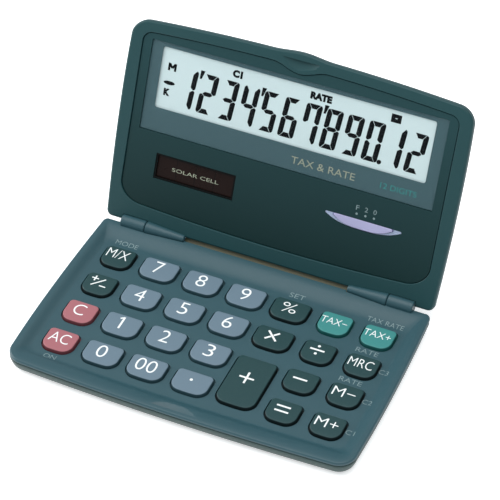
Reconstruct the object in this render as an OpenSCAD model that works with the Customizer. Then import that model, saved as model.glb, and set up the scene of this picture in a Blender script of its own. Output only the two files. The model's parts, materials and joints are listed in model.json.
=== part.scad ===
// Folding pocket calculator: a key leaf and a display leaf on two barrel hinges.
// Millimetres. +X is the user's right, +Y points away from the user, +Z up.
// The origin is the centre of the flat underside of the key leaf.

/* [Leaves] */
// Half width of a leaf at its widest
leaf_hw = 55.2; // [55:0.1:57]
// Thickness of the key leaf, underside to rim
base_t = 5.6; // [5.6:0.1:6.4]
// Thickness of the display leaf, rear face to rim
lid_t = 4.6; // [4.6:0.1:5.4]
// Distance from hinge axis to the front edge of the key leaf
base_len = 68.0; // [67.8:0.1:70]
// Distance from hinge axis to the far edge of the display leaf
lid_len = 66.5; // [66.4:0.1:68]
// Radius of the leaf corners away from the hinge
corner_r = 5.2; // [4.6:0.1:6]

/* [Hinge] */
// Angle of the display leaf above flat-open
lid_tilt = 66.5; // [20:0.5:110]
// Outer radius of the hinge barrels
barrel_r = 2.15; // [2:0.05:2.2]
// Radius of the steel hinge pins
pin_r = 0.75; // [0.6:0.05:0.8]
// Running clearance around a pin in the display leaf
pin_gap = 0.04; // [0.02:0.01:0.08]
// Outer end of the base barrel
barrel_out = 48.2; // [48:0.1:48.6]
// Seam between base barrel and lid barrel
barrel_seam = 40.0; // [39.6:0.1:40.4]
// Inner, thin end of the lid barrel
barrel_in = 27.4; // [27.2:0.1:28]

/* [Keys] */
// Distance between key rows
row_pitch = 12.95; // [12.8:0.05:13]
// Distance between the middle key columns
col_pitch = 14.4; // [14.2:0.05:14.4]
// Width of the number keys
wide_key = 11.4; // [11:0.1:11.6]
// Width of the function keys
slim_key = 9.7; // [9.4:0.1:10]
// Front-to-back length of a key
key_len = 8.6; // [8.4:0.1:8.8]
/* [Display] */
// Half width of the clear window
window_hw = 47.65; // [47:0.05:48]
// Near edge of the clear window, from the hinge axis
window_near = 30.8; // [30.4:0.1:31]
// Far edge of the clear window, from the hinge axis
window_far = 59.35; // [59:0.05:59.5]
// Half width of the visible display area
view_hw = 43.9; // [43:0.1:44.2]
// Near edge of the visible display area
view_near = 38.5; // [38:0.1:39]
// Far edge of the visible display area
view_far = 57.9; // [57.5:0.1:58.2]
// Travel of the slide switch to each side of its middle position
switch_travel = 2.75; // [1.5:0.05:2.8]

/* [Hidden] */
$fn = 48;
hinge_y = 34.55;           // hinge axis, behind the middle of the underside
hinge_rise = 0.15;         // hinge axis above either rim plane, half the closed gap
base_near = 1.1;           // back edge of the key leaf, from the axis
lid_near = 0.5;            // near edge of the display leaf, from the axis
base_bow = 1.2;            // how far the front edge bows out, over half a width of 50
lid_bow = 1.9;
run = 0.3;                 // space between parts of the two leaves at the hinge

base_split = -1.2;         // heights below the rim of the key leaf
dish = -1.3;
under_top = -2.2;
flange_top = -2.3;
flange_low = -2.8;
mat_top = -3.5;
board_top = -3.9;
floor_top = -4.7;
boss_meet = -3.6;
key_top = -0.4;

lid_split = -1.3;          // heights below the rim of the display leaf
panel_top = -0.35;
panel_low = -1.15;
frame_low = -1.9;
mask_top = -0.78;
mask_low = -0.86;
lcd_top = -1.17;
lid_board_top = -2.9;
lid_board_low = -3.5;
lid_floor = -3.8;

switch_x = 27.65;          // middle of the slide switch
switch_s = 22.05;          // straight far edge of its crescent
stem_hw = 0.9;             // half width of the stem that joins the knob to its contact
cell_s = 20;               // middle of the button cell
cell_r = 5.8;
film_hw = 26;              // half width of the flexible film
film_t = 0.15;
film_h = -1.6;             // height at which the film leaves either leaf

body_col = [0.25, 0.38, 0.43];
rim_col = [0.17, 0.30, 0.31];
panel_col = [0.12, 0.19, 0.20];
number_col = [0.47, 0.55, 0.60];
dark_col = [0.20, 0.33, 0.33];
clear_col = [0.72, 0.47, 0.49];
tax_col = [0.29, 0.57, 0.56];
lilac_col = [0.70, 0.67, 0.82];
steel_col = [0.70, 0.71, 0.72];

// Name, column, row and colour of each key; the columns run left to right, the rows back to front
KEYS = [
  ["key_memory_exchange", 0, 0, dark_col], ["key_7", 1, 0, number_col], ["key_8", 2, 0, number_col],
  ["key_9", 3, 0, number_col], ["key_percent", 4, 0, dark_col], ["key_tax_minus", 5, 0, tax_col],
  ["key_tax_plus", 6, 0, tax_col],
  ["key_sign_change", 0, 1, dark_col], ["key_4", 1, 1, number_col], ["key_5", 2, 1, number_col],
  ["key_6", 3, 1, number_col], ["key_multiply", 4, 1, dark_col], ["key_divide", 5, 1, dark_col],
  ["key_memory_recall", 6, 1, dark_col],
  ["key_clear", 0, 2, clear_col], ["key_1", 1, 2, number_col], ["key_2", 2, 2, number_col],
  ["key_3", 3, 2, number_col], ["key_plus", 4, 2.5, dark_col], ["key_minus", 5, 2, dark_col],
  ["key_memory_minus", 6, 2, dark_col],
  ["key_all_clear", 0, 3, clear_col], ["key_0", 1, 3, number_col], ["key_00", 2, 3, number_col],
  ["key_point", 3, 3, number_col], ["key_equals", 5, 3, dark_col], ["key_memory_plus", 6, 3, dark_col]];
COLUMNS = [-42.6, -2 * col_pitch, -col_pitch, 0, col_pitch, 2 * col_pitch, 42.6];
first_row = 15;
plus_len = 19.8;           // the plus key spans two rows
plus_w = 12.2;

// ---- frames: a leaf is drawn as (x, distance from hinge axis, height above its rim plane) ----
module on_base() {
  translate([0, hinge_y, base_t]) mirror([0, 1, 0]) children();
}
module on_lid() {
  translate([0, hinge_y, base_t + hinge_rise]) rotate([lid_tilt, 0, 0]) translate([0, 0, -hinge_rise]) children();
}

// ---- outlines ----
function sq(v) = v * v;
function arc(cx, cy, r, a, n) = [for (i = [0:n]) [cx + r * cos(a + 90 * i / n), cy + r * sin(a + 90 * i / n)]];
function edge(p, q, n) = [for (i = [1:1:n - 1]) p + (q - p) * i / n];
// Rounded box from v0 to v1, with near corners of radius rn and far corners of radius rf
function round_box(a, v0, v1, rn, rf, nc = 6, ne = 8, nf = 8) = concat(
  arc(a - rf, v1 - rf, rf, 0, nc), edge([a - rf, v1], [rf - a, v1], nf),
  arc(rf - a, v1 - rf, rf, 90, nc), edge([-a, v1 - rf], [-a, v0 + rn], ne),
  arc(rn - a, v0 + rn, rn, 180, nc), edge([rn - a, v0], [a - rn, v0], ne),
  arc(a - rn, v0 + rn, rn, 270, nc), edge([a, v0 + rn], [a, v1 - rf], ne));
// Smooth bump of height 1 and half width w
function bump(x, w) = abs(x) < w ? 0.5 * (1 + cos(180 * x / w)) : 0;
// A leaf's sides and far edge are gently bowed; the tab is a bump on the far edge
function side_bow(v) = v < 42 ? 1.2 * sq((v - 42) / 42) : 0.6 * sq((v - 42) / 25);
function bowed(p, len, bow, tab) = let(f = max(0, (p.y - len / 2) / (len / 2)))
  [p.x * (1 - side_bow(p.y) / leaf_hw), p.y - f * (bow * sq(p.x / 50) - tab * bump(p.x, 9))];
// Inset by d all round, and by e more along the front
function base_line(d, e = 0) = [for (p = round_box(leaf_hw - d, base_near + d, base_len - d - e,
  max(1.5 - d, 0.5), max(corner_r - d, 0.8))) bowed(p, base_len, base_bow, 0)];
function lid_line(d) = [for (p = round_box(leaf_hw - d, lid_near + d, lid_len - d,
  max(1.9 - d, 0.5), max(corner_r - d, 0.8), 6, 8, 24)) bowed(p, lid_len, lid_bow, 0.8)];
// The inset face panel: near edge bowed towards the hinge, far edge dipping around the finger scoop
panel_hw = 50.8;
panel_near = 5.3;
panel_far = 63.1;
function panel_line(d) = [for (p = round_box(panel_hw - d, panel_near + d, panel_far - d, 7 - d, 3 - d, 6, 12, 40))
  [p.x, p.y > 40 ? p.y - 1.7 * sq(p.x / 47) - 2.3 * bump(p.x, 9) : p.y + max(0, 1 - p.y / 20) * 2.2 * sq(p.x / 47)]];
function key_w(k) = k[1] == 4 && k[2] == 2.5 ? plus_w : k[1] == 0 || k[1] > 4 ? slim_key : wide_key;
function key_l(k) = k[2] == 2.5 ? plus_len : key_len;
function key_x(k) = COLUMNS[k[1]];
function key_v(k) = first_row + k[2] * row_pitch;
// Key outline, grown by d, with tight rear corners, wide front corners and a bowed front edge
function key_line(k, d) = [for (p = round_box(key_w(k) / 2 + d, -key_l(k) / 2 - d, key_l(k) / 2 + d, 1.4 + d, 3 + d, 4, 1, 4))
  [key_x(k) + p.x, key_v(k) + p.y - (p.y > 0 ? 0.4 * sq(2 * p.x / key_w(k)) : 0)]];

// ---- solids ----
// Skin through rings of equal point counts, given as [outline, height]
module loft(rings) {
  n = len(rings[0][0]);
  m = len(rings) - 1;
  points = [for (r = rings) for (p = r[0]) [p.x, p.y, r[1]]];
  sides = [for (k = [0:m - 1]) for (i = [0:n - 1]) let(j = (i + 1) % n, a = k * n, b = a + n)
    each [[a + i, b + i, b + j], [a + i, b + j, a + j]]];
  polyhedron(points, concat([[for (i = [0:n - 1]) i]], sides, [[for (i = [n - 1:-1:0]) m * n + i]]));
}
module plate(outline, low, high) {
  translate([0, 0, low]) linear_extrude(high - low) polygon(outline);
}
module block(x, v, h) {
  translate([x[0], v[0], h[0]]) cube([x[1] - x[0], v[1] - v[0], h[1] - h[0]]);
}
module rod(x, v, low, high, r) {
  translate([x, v, low]) cylinder(h = high - low, r = r);
}
// Round bar along the hinge axis, from radius r0 at x0 to r1 at x1, on both sides
module hinge_bars(x0, x1, r0, r1) {
  for (side = [-1, 1])
    translate([side * x0, 0, hinge_rise]) rotate([0, 90 * side, 0]) cylinder(h = x1 - x0, r1 = r0, r2 = r1);
}
module lid_barrels(extra) {
  hinge_bars(barrel_in - extra, barrel_seam - 0.05, 1.2 + extra, barrel_r + extra);
}
module base_barrels(extra) {
  hinge_bars(barrel_seam + 0.05 - extra, barrel_out + extra, barrel_r + extra, barrel_r + extra);
}
// Screw with a cross slot, head down
module screw(x, v, low, head, high) {
  difference() {
    union() {
      rod(x, v, low, head, 1.5);
      rod(x, v, head, high, 0.7);
    }
    block([x - 0.9, x + 0.9], [v - 0.2, v + 0.2], [low - 1, low + 0.35]);
    block([x - 0.2, x + 0.2], [v - 0.9, v + 0.9], [low - 1, low + 0.35]);
  }
}
base_screw_at = [[50.4, 5.6], [50.4, 61.5], [-50.4, 5.6], [-50.4, 61.5]];
lid_screw_at = [[50.9, 12], [50.9, 56], [-50.9, 12], [-50.9, 56]];

// ---- key leaf ----
module base_bottom_case() {
  color(body_col) on_base() difference() {
    union() {
      difference() {
        loft([[base_line(3.6), -base_t], [base_line(2.7), 0.1 - base_t], [base_line(1.8), 0.4 - base_t],
          [base_line(1.0), 1.0 - base_t], [base_line(0.4), 1.9 - base_t], [base_line(0.1), 3.0 - base_t],
          [base_line(0), -1.9], [base_line(0), -1.5], [base_line(0.3), base_split - 0.05]]);
        plate(base_line(3.4), floor_top, 1);
        plate(base_line(1.5), boss_meet, 1);
      }
      for (p = base_screw_at) rod(p.x, p.y, floor_top - 0.2, boss_meet, 2.4);
    }
    for (p = base_screw_at) {
      rod(p.x, p.y, -base_t - 1, -4.45, 1.75);
      rod(p.x, p.y, -base_t, 0, 0.95);
    }
    lid_barrels(run);
    base_barrels(0.02);
    block([-film_hw - 0.6, film_hw + 0.6], [0, 4], [film_h - 0.3, 0]);
  }
}
module base_top_case() {
  color(body_col) on_base() difference() {
    union() {
      difference() {
        loft([[base_line(1.6), under_top], [base_line(1.6), base_split], [base_line(0.35), base_split],
          [base_line(0.1), -1.0], [base_line(0), -0.8], [base_line(0.05), -0.45], [base_line(0.3), -0.12],
          [base_line(0.7), 0], [base_line(1.6, 1.6), 0], [base_line(2.0, 1.6), -0.1],
          [base_line(2.8, 1.6), -0.5], [base_line(3.7, 1.6), -0.95], [base_line(4.6, 1.6), -1.22],
          [base_line(5.4, 1.6), dish]]);
        for (k = KEYS) plate(key_line(k, 0.3), -3, 0);
        lid_barrels(run);
        block([-film_hw - 1, film_hw + 1], [1.5, 4.2], [-3, base_split]);
        intersection() {
          translate([0, 71.6, 22.3]) sphere(r = 24, $fn = 96);
          block([-9, 9], [60, 66.5], [-3, 1]);
        }
      }
      base_barrels(0);
      for (p = base_screw_at) rod(p.x, p.y, boss_meet, under_top, 1.9);
    }
    for (p = base_screw_at) rod(p.x, p.y, -4, -1.6, 0.72);
    hinge_bars(barrel_seam - 1, barrel_out - 1.1, pin_r + 0.01, pin_r + 0.01);
  }
}
module key_board() {
  color("darkgreen") on_base() block([-47.6, 47.6], [6, 63.2], [floor_top, board_top]);
}
module keymat() {
  color("lightgrey") on_base() difference() {
    union() {
      block([-47.6, 47.6], [9.6, 62.8], [board_top, mat_top]);
      for (k = KEYS)
        translate([key_x(k), key_v(k), mat_top]) cylinder(h = flange_low - mat_top, r1 = 3, r2 = 2.4);
    }
    for (k = KEYS) rod(key_x(k), key_v(k), board_top - 1, -3.4, 2);
  }
}
module contact_pills() {
  color("black") on_base() for (k = KEYS) rod(key_x(k), key_v(k), -3.6, -3.4, 1.4);
}
module base_screws() {
  color(steel_col) on_base() for (p = base_screw_at) screw(p.x, p.y, 0.3 - base_t, -4.45, -1.7);
}
module hinge_pin(side) {
  color(steel_col) translate([side * 33, hinge_y, base_t + hinge_rise]) rotate([0, 90 * side, 0])
    cylinder(h = barrel_out - 1.2 - 33, r = pin_r);
}
module key(k) {
  color(k[3]) on_base() {
    plate(key_line(k, 0.65), flange_low, flange_top);
    plate(key_line(k, 0), flange_top - 0.1, key_top);
  }
}

// ---- film across the hinge ----
// Middle line of the film as [y, z] from the hinge axis: board, base slot, gap, lid slot, lid board
function from_lid(s, m) = [s * cos(lid_tilt) - (m - hinge_rise) * sin(lid_tilt), s * sin(lid_tilt) + (m - hinge_rise) * cos(lid_tilt)];
function bend(p, c, q, n) = [for (i = [0:n]) let(t = i / n) sq(1 - t) * p + 2 * t * (1 - t) * c + sq(t) * q];
film_exit = [-base_near, film_h - hinge_rise];
film_entry = from_lid(lid_near, film_h);
film_corner = [film_entry.x - (film_entry.y - film_exit.y) / tan(lid_tilt), film_exit.y];
film_path = concat(
  [for (p = [[9.2, board_top + 0.075], [6.2, board_top + 0.075], [4.6, -3.3], [3.6, -2.3], [2.4, film_h - 0.05]])
    [-p.x, p.y - hinge_rise]],
  bend(film_exit, film_corner, film_entry, 6),
  [for (p = [[2, film_h - 0.1], [3.4, -2.2], [5, -2.7], [6.2, lid_board_top + 0.075], [9.2, lid_board_top + 0.075]])
    from_lid(p.x, p.y)]);
function unit(v) = v / norm(v);
function side_of(path, i) = let(t = unit(path[min(i + 1, len(path) - 1)] - path[max(i - 1, 0)])) [-t.y, t.x];
function strip(path, w) = concat([for (i = [0:len(path) - 1]) path[i] + side_of(path, i) * w],
  [for (i = [len(path) - 1:-1:0]) path[i] - side_of(path, i) * w]);
module flex_cable() {
  color([0.80, 0.55, 0.20]) translate([-film_hw, hinge_y, base_t + hinge_rise]) rotate([90, 0, 90])
    linear_extrude(2 * film_hw) polygon(strip(film_path, film_t / 2));
}

// ---- display leaf ----
module lid_front_frame() {
  color(rim_col) on_lid() difference() {
    union() {
      difference() {
        loft([[lid_line(1.6), frame_low], [lid_line(1.6), lid_split], [lid_line(0.35), lid_split],
          [lid_line(0.1), -1.1], [lid_line(0), -0.9], [lid_line(0.05), -0.5], [lid_line(0.3), -0.15], [lid_line(0.8), 0]]);
        plate(panel_line(0), panel_low, 1);
        plate(panel_line(1.6), -3, 1);
        block([-48, 48], [31, 61.1], [-3, panel_low]);
        base_barrels(run);
        block([-film_hw - 1, film_hw + 1], [1.5, 5], [-3, lid_split]);
        intersection() {
          translate([0, 68.1, 9]) sphere(r = 11);
          block([-9, 9], [58, 65.1], [-3, 1]);
        }
      }
      lid_barrels(0);
      for (p = lid_screw_at) rod(p.x, p.y, -2.4, panel_low, 1.8);
    }
    for (p = lid_screw_at) rod(p.x, p.y, -3, -1.3, 0.72);
    hinge_bars(32.9, barrel_seam + 1, pin_r + pin_gap, pin_r + pin_gap);
  }
}
module lid_rear_case() {
  color(rim_col) on_lid() difference() {
    union() {
      difference() {
        loft([[lid_line(3.4), -lid_t], [lid_line(2.5), 0.1 - lid_t], [lid_line(1.7), 0.35 - lid_t],
          [lid_line(0.9), 0.9 - lid_t], [lid_line(0.35), 1.6 - lid_t], [lid_line(0.1), 2.3 - lid_t],
          [lid_line(0), -1.7], [lid_line(0.3), lid_split - 0.05]]);
        plate(lid_line(3.2), lid_floor, 1);
        plate(lid_line(1.5), -3, 1);
      }
      for (p = lid_screw_at) rod(p.x, p.y, lid_floor - 0.2, -2.4, 2.3);
    }
    for (p = lid_screw_at) {
      rod(p.x, p.y, -lid_t - 1, -3.65, 1.75);
      rod(p.x, p.y, -lid_t, 0, 0.95);
    }
    lid_barrels(0.02);
    base_barrels(run);
    block([-film_hw - 0.6, film_hw + 0.6], [0, 4], [film_h - 0.3, 0]);
  }
}
// Crescent with a straight far edge at switch_s: chord c and depth d
module crescent(c, d, low, high) {
  r = (sq(c / 2) + sq(d)) / (2 * d);
  intersection() {
    translate([switch_x, switch_s - d + r, low]) cylinder(h = high - low, r = r, $fn = 96);
    block([switch_x - c, switch_x + c], [switch_s - d - 1, switch_s], [low - 1, high + 1]);
  }
}
module face_panel() {
  color(panel_col) on_lid() difference() {
    plate(panel_line(0.12), panel_low, panel_top);
    block([-window_hw, window_hw], [window_near, window_far], [mask_low, 0]);
    block([-45.6, 45.6], [36.4, 58.6], [-2, 0]);
    block([-40.7, -14.2], [16.3, 24.5], [-2, 0]);
    crescent(24.6, 3.15, -2, 0);
  }
}
module display_window() {
  color([0.8, 0.9, 0.9, 0.35]) on_lid()
    block([-window_hw + 0.05, window_hw - 0.05], [window_near + 0.05, window_far - 0.05], [mask_top, panel_top]);
}
module window_mask() {
  color([0.26, 0.35, 0.38]) on_lid() difference() {
    block([-window_hw + 0.1, window_hw - 0.1], [window_near + 0.1, window_far - 0.1], [mask_low, mask_top]);
    plate(round_box(view_hw, view_near, view_far, 0.8, 0.8, 4, 1, 1), -2, 0);
  }
}
module lcd_front_polariser() {
  color([0.78, 0.85, 0.85]) on_lid() block([-45.4, 45.4], [36.5, 58.5], [-1.3, lcd_top]);
}
module lcd_front_glass() {
  color([0.8, 0.9, 0.9]) on_lid() block([-45.8, 45.8], [33.8, 59.9], [-1.85, -1.3]);
}
module lcd_rear_glass() {
  color([0.8, 0.9, 0.9]) on_lid() block([-45.8, 45.8], [36.2, 59.9], [-2.4, -1.85]);
}
module lcd_reflector() {
  color([0.78, 0.84, 0.82]) on_lid() block([-45.4, 45.4], [36.5, 59.5], [-2.55, -2.4]);
}
module lcd_holder() {
  color([0.85, 0.85, 0.82]) on_lid() difference() {
    block([-47.8, 47.8], [32.2, 60.9], [lid_board_top, lcd_top]);
    block([-45.95, 45.95], [33.6, 60.05], [-3.5, 0]);
  }
}
module zebra_strip() {
  color("dimgray") on_lid() block([-44, 44], [34, 35.6], [lid_board_top, -1.85]);
}
module lid_board() {
  color("darkgreen") on_lid() difference() {
    block([-46.5, 46.5], [6, 60.9], [lid_board_low, lid_board_top]);
    rod(0, cell_s, -4, -2, cell_r + 0.3);
  }
}
module lsi_chip() {
  color([0.08, 0.08, 0.08]) on_lid() intersection() {
    translate([-30, 28.6, lid_board_top - 4]) sphere(r = 5);
    block([-35, -25], [24, 34], [lid_board_top, -1.5]);
  }
}
// Position and size of each small component on the display leaf's board
PARTS = [[10, 27.5, 2, 1.25], [14, 27.5, 2, 1.25], [18, 28, 1.6, 0.8], [22, 28, 1.6, 0.8], [36, 27, 3.2, 1.6], [-12, 28, 2, 1.25]];
module board_components() {
  color([0.55, 0.45, 0.35]) on_lid()
    for (c = PARTS) block([c[0], c[0] + c[2]], [c[1], c[1] + c[3]], [lid_board_top, lid_board_top + 0.7]);
}
module button_cell() {
  color(steel_col) on_lid() {
    rod(0, cell_s, lid_board_low, -1.75, cell_r);
    rod(0, cell_s, -1.8, -1.4, cell_r - 0.8);
  }
}
module battery_contact_plus() {
  color(steel_col) on_lid() block([-2, 2], [10, 24], [-3.65, lid_board_low]);
}
module battery_contact_minus() {
  color(steel_col) on_lid() {
    block([-1.5, 1.5], [18, 28.2], [-1.4, -1.25]);
    block([-1.5, 1.5], [28, 28.2], [lid_board_top, -1.25]);
  }
}
module solar_cell() {
  color([0.13, 0.09, 0.09]) on_lid() block([-42, -12.9], [15.3, 25.5], [-1.95, panel_low]);
}
module switch_escutcheon() {
  color(lilac_col) on_lid() difference() {
    crescent(24.5, 3.1, -1.1, -0.45);
    slot_hw = stem_hw + switch_travel + 0.15;
    block([switch_x - slot_hw, switch_x + slot_hw], [20.55, 21.55], [-2, 0]);
  }
}
module switch_knob() {
  color(lilac_col * 1.08) on_lid() {
    crescent(18.8, 2.9, -0.35, 0.05);
    block([switch_x - stem_hw, switch_x + stem_hw], [20.7, 21.4], [-2.2, -0.3]);
  }
}
module switch_contact() {
  color(steel_col) on_lid() {
    block([switch_x - 2.5, switch_x + 2.5], [19, 22.2], [-2.35, -2.2]);
    for (x = [-2.5, 1.9]) block([switch_x + x, switch_x + x + 0.6], [19, 19.6], [-2.85, -2.2]);
  }
}
module lid_screws() {
  color(steel_col) on_lid() for (p = lid_screw_at) screw(p.x, p.y, 0.15 - lid_t, -3.65, -1.4);
}

base_bottom_case();
base_top_case();
key_board();
keymat();
contact_pills();
base_screws();
hinge_pin(-1);  // hinge_pin_left
hinge_pin(1);  // hinge_pin_right
flex_cable();
lid_front_frame();
lid_rear_case();
face_panel();
display_window();
window_mask();
lcd_front_polariser();
lcd_front_glass();
lcd_rear_glass();
lcd_reflector();
lcd_holder();
zebra_strip();
lid_board();
lsi_chip();
board_components();
button_cell();
battery_contact_plus();
battery_contact_minus();
solar_cell();
switch_escutcheon();
switch_knob();
switch_contact();
lid_screws();
for (k = KEYS) key(k);
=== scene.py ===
"""Looks of a folding pocket calculator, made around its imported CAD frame.

Lengths are millimetres until a mesh is placed. A leaf is drawn as x to the user's right, v away
from the hinge axis and h above the leaf's rim plane; place() carries it to its place in the frame.
"""
import json
import math

import bmesh
import bpy
from mathutils import Matrix, Vector
from mathutils.bvhtree import BVHTree


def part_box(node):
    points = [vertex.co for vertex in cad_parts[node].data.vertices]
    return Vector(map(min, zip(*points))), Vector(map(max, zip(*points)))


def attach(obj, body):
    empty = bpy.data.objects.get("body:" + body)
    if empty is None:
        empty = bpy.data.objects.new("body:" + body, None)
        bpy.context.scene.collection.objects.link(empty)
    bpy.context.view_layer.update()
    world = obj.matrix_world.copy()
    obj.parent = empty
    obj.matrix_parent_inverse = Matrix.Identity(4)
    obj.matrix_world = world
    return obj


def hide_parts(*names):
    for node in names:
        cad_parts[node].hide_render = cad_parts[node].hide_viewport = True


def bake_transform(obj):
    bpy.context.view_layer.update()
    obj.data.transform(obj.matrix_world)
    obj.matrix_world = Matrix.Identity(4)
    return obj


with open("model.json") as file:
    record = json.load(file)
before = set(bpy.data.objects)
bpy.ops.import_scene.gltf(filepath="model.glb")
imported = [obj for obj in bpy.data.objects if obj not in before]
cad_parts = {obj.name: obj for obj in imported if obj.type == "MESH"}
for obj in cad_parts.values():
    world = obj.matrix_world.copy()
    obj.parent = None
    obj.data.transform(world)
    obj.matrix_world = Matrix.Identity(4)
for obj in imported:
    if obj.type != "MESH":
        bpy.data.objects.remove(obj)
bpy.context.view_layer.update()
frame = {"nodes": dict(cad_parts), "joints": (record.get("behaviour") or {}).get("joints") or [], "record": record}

# ---- the frame's own sizes, in millimetres ----
MM = 0.001
HINGE = next(j for j in frame["joints"] if j["name"] == "display_leaf_hinge")
HINGE_Y = HINGE["pos_m"][1] / MM
HINGE_Z = HINGE["pos_m"][2] / MM
TILT = math.radians(-HINGE["range_deg"][0])
RISE = 0.15
BASE_T = HINGE_Z - RISE
LEAF_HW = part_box("base_bottom_case")[1].x / MM
BASE_LEN = HINGE_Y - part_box("base_bottom_case")[0].y / MM

# ---- outlines of the leaves: near edge and its corner radius, and bow of the far edge at BOW_REACH ----
BASE_NEAR, BASE_NEAR_R, BASE_BOW = 1.1, 1.5, 1.2
LID_NEAR, LID_NEAR_R, LID_BOW = 0.3, 1.9, 1.9
LID_LEN, DISH_NEAR = 66.5, 8.8
FAR_R, BOW_REACH = 5.2, 50
TAB_RISE, TAB_HW = 0.8, 10
PANEL_GAP = 0.2

# ---- heights, from the rim plane of each leaf ----
SPLIT, DISH, UNDER_TOP = -1.2, -1.3, -2.2
FLANGE_TOP, FLANGE_LOW, KEY_TOP = -2.3, -2.8, -0.4
FLOOR_TOP, BOSS_MEET = -4.7, -3.6
LID_SPLIT, FRAME_LOW = -1.3, -1.9
PANEL_TOP, PANEL_LOW = -0.35, -1.15
MASK_TOP, MASK_LOW = -0.78, -0.86
LCD_TOP = -1.17
LID_FLOOR, LID_MEET = -3.8, -2.4
FILM_H = -1.6

# ---- profiles of the outer shells, from the underside up the outside and down the inside ----
BASE_PROFILE = [(3.6, -5.6), (3.2, -5.58), (2.7, -5.5), (2.2, -5.36), (1.7, -5.12), (1.2, -4.72),
                (0.8, -4.2), (0.5, -3.6), (0.25, -2.9), (0.08, -2.3), (0, -1.9), (0, -1.5), (0.08, -1.35),
                (0.3, SPLIT - 0.05), (1.5, SPLIT - 0.05), (1.5, BOSS_MEET), (3.4, BOSS_MEET),
                (3.4, FLOOR_TOP)]
LID_PROFILE = [(3.4, -4.6), (3.0, -4.58), (2.5, -4.5), (2.0, -4.36), (1.5, -4.12), (1.0, -3.75),
               (0.65, -3.35), (0.35, -2.9), (0.15, -2.45), (0.03, -2.1), (0, -1.8), (0, -1.6), (0.08, -1.45),
               (0.3, LID_SPLIT - 0.05), (1.5, LID_SPLIT - 0.05), (1.5, -3), (3.2, -3), (3.2, LID_FLOOR)]

# ---- screws (x, v) and finger scoops (v and h of a ball, its radius, where it is cut off) ----
BASE_SCREWS = [(x, v) for x in (-50.4, 50.4) for v in (5.6, 61.5)]
LID_SCREWS = [(x, v) for x in (-50.9, 50.9) for v in (12, 56)]
HEAD_R, SHANK_R = 1.75, 0.95
BASE_SCOOP = (71.6, 22.3, 24, 66.5)
LID_SCOOP = (69.2, 16.4, 18, 65.1)

# ---- hinge and its film: RUN is the gap round a barrel that turns, SNUG round one that is fixed ----
BARREL_R, BARREL_THIN = 2.15, 1.2
BARREL_IN, BARREL_SEAM, BARREL_OUT = 27.0, 40.0, 48.2
SEAM_GAP, RUN, SNUG = 0.09, 0.16, 0.03
FILM_HW, FILM_THICK = 27.3, 0.12

# ---- keys: the grid's columns and rows, the sizes of the caps, the fall of a top and its rounded edge ----
COLUMNS = [-42.6, -28.8, -14.4, 0, 14.4, 28.8, 42.6]
FIRST_ROW, ROW_PITCH = 15.0, 12.95
WIDE_KEY, SLIM_KEY, KEY_LEN = 11.4, 9.7, 8.6
PLUS_W, PLUS_LEN, PLUS_ROW = 12.2, 19.8, 2.5
CROWN, KEY_EDGE = 0.09, 0.3

# ---- keys: legend, column, row, colour, legend width and height ----
DIGIT_H = 4.9
KEYS = {
    "key_memory_exchange": ("M/X", 0, 0, "dark", 7.0, 3.8),
    "key_7": ("7", 1, 0, "number", 2.9, DIGIT_H),
    "key_8": ("8", 2, 0, "number", 3.0, DIGIT_H),
    "key_9": ("9", 3, 0, "number", 3.0, DIGIT_H),
    "key_percent": ("%", 4, 0, "dark", 4.7, 4.1),
    "key_tax_minus": ("TAX−", 5, 0, "tax", 8.2, 2.6),
    "key_tax_plus": ("TAX+", 6, 0, "tax", 8.4, 2.6),
    "key_sign_change": ("sign", 0, 1, "dark", 6.0, 4.2),
    "key_4": ("4", 1, 1, "number", 3.2, DIGIT_H),
    "key_5": ("5", 2, 1, "number", 2.9, DIGIT_H),
    "key_6": ("6", 3, 1, "number", 3.0, DIGIT_H),
    "key_multiply": ("multiply", 4, 1, "dark", 3.9, 3.9),
    "key_divide": ("divide", 5, 1, "dark", 4.5, 4.1),
    "key_memory_recall": ("MRC", 6, 1, "dark", 7.5, 3.5),
    "key_clear": ("C", 0, 2, "clear", 3.6, 4.4),
    "key_1": ("1", 1, 2, "number", 1.7, DIGIT_H),
    "key_2": ("2", 2, 2, "number", 2.9, DIGIT_H),
    "key_3": ("3", 3, 2, "number", 2.9, DIGIT_H),
    "key_plus": ("plus", 4, PLUS_ROW, "dark", 4.6, 4.6),
    "key_minus": ("minus", 5, 2, "dark", 4.4, 0.62),
    "key_memory_minus": ("M−", 6, 2, "dark", 6.9, 3.5),
    "key_all_clear": ("AC", 0, 3, "clear", 6.4, 4.0),
    "key_0": ("0", 1, 3, "number", 3.1, DIGIT_H),
    "key_00": ("00", 2, 3, "number", 6.5, DIGIT_H),
    "key_point": ("point", 3, 3, "number", 0.95, 0.95),
    "key_equals": ("equals", 5, 3, "dark", 4.3, 2.6),
    "key_memory_plus": ("M+", 6, 3, "dark", 6.9, 3.5),
}

# ---- legends that are drawn, not typed, and how far a legend sits left and back of its key's middle ----
DRAWN = ("plus", "minus", "equals", "divide", "multiply", "sign", "point", "1")
LEGEND_LEFT, LEGEND_BACK = 0.4, 0.85
FAR_LEGENDS = {"plus": 1.5, "M/X": 1.3}

# ---- labels printed beside the keys: text, middle and width ----
LABELS = {
    "mode": ("MODE", -42.8, 8.0, 7.4),
    "on": ("ON", -42.7, 60.4, 3.9),
    "set": ("SET", 14.0, 8.0, 4.9),
    "rate_1": ("TAX RATE", 42.4, 8.0, 11.6),
    "rate_2": ("RATE", 41.8, 21.2, 7.0),
    "rate_3": ("RATE", 41.8, 34.2, 7.0),
    "three": ("C3", 49.4, 27.2, 2.9),
    "two": ("C2", 49.4, 40.2, 2.9),
    "one": ("C1", 49.4, 53.2, 2.7),
}
LABEL_H = 1.75

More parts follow.
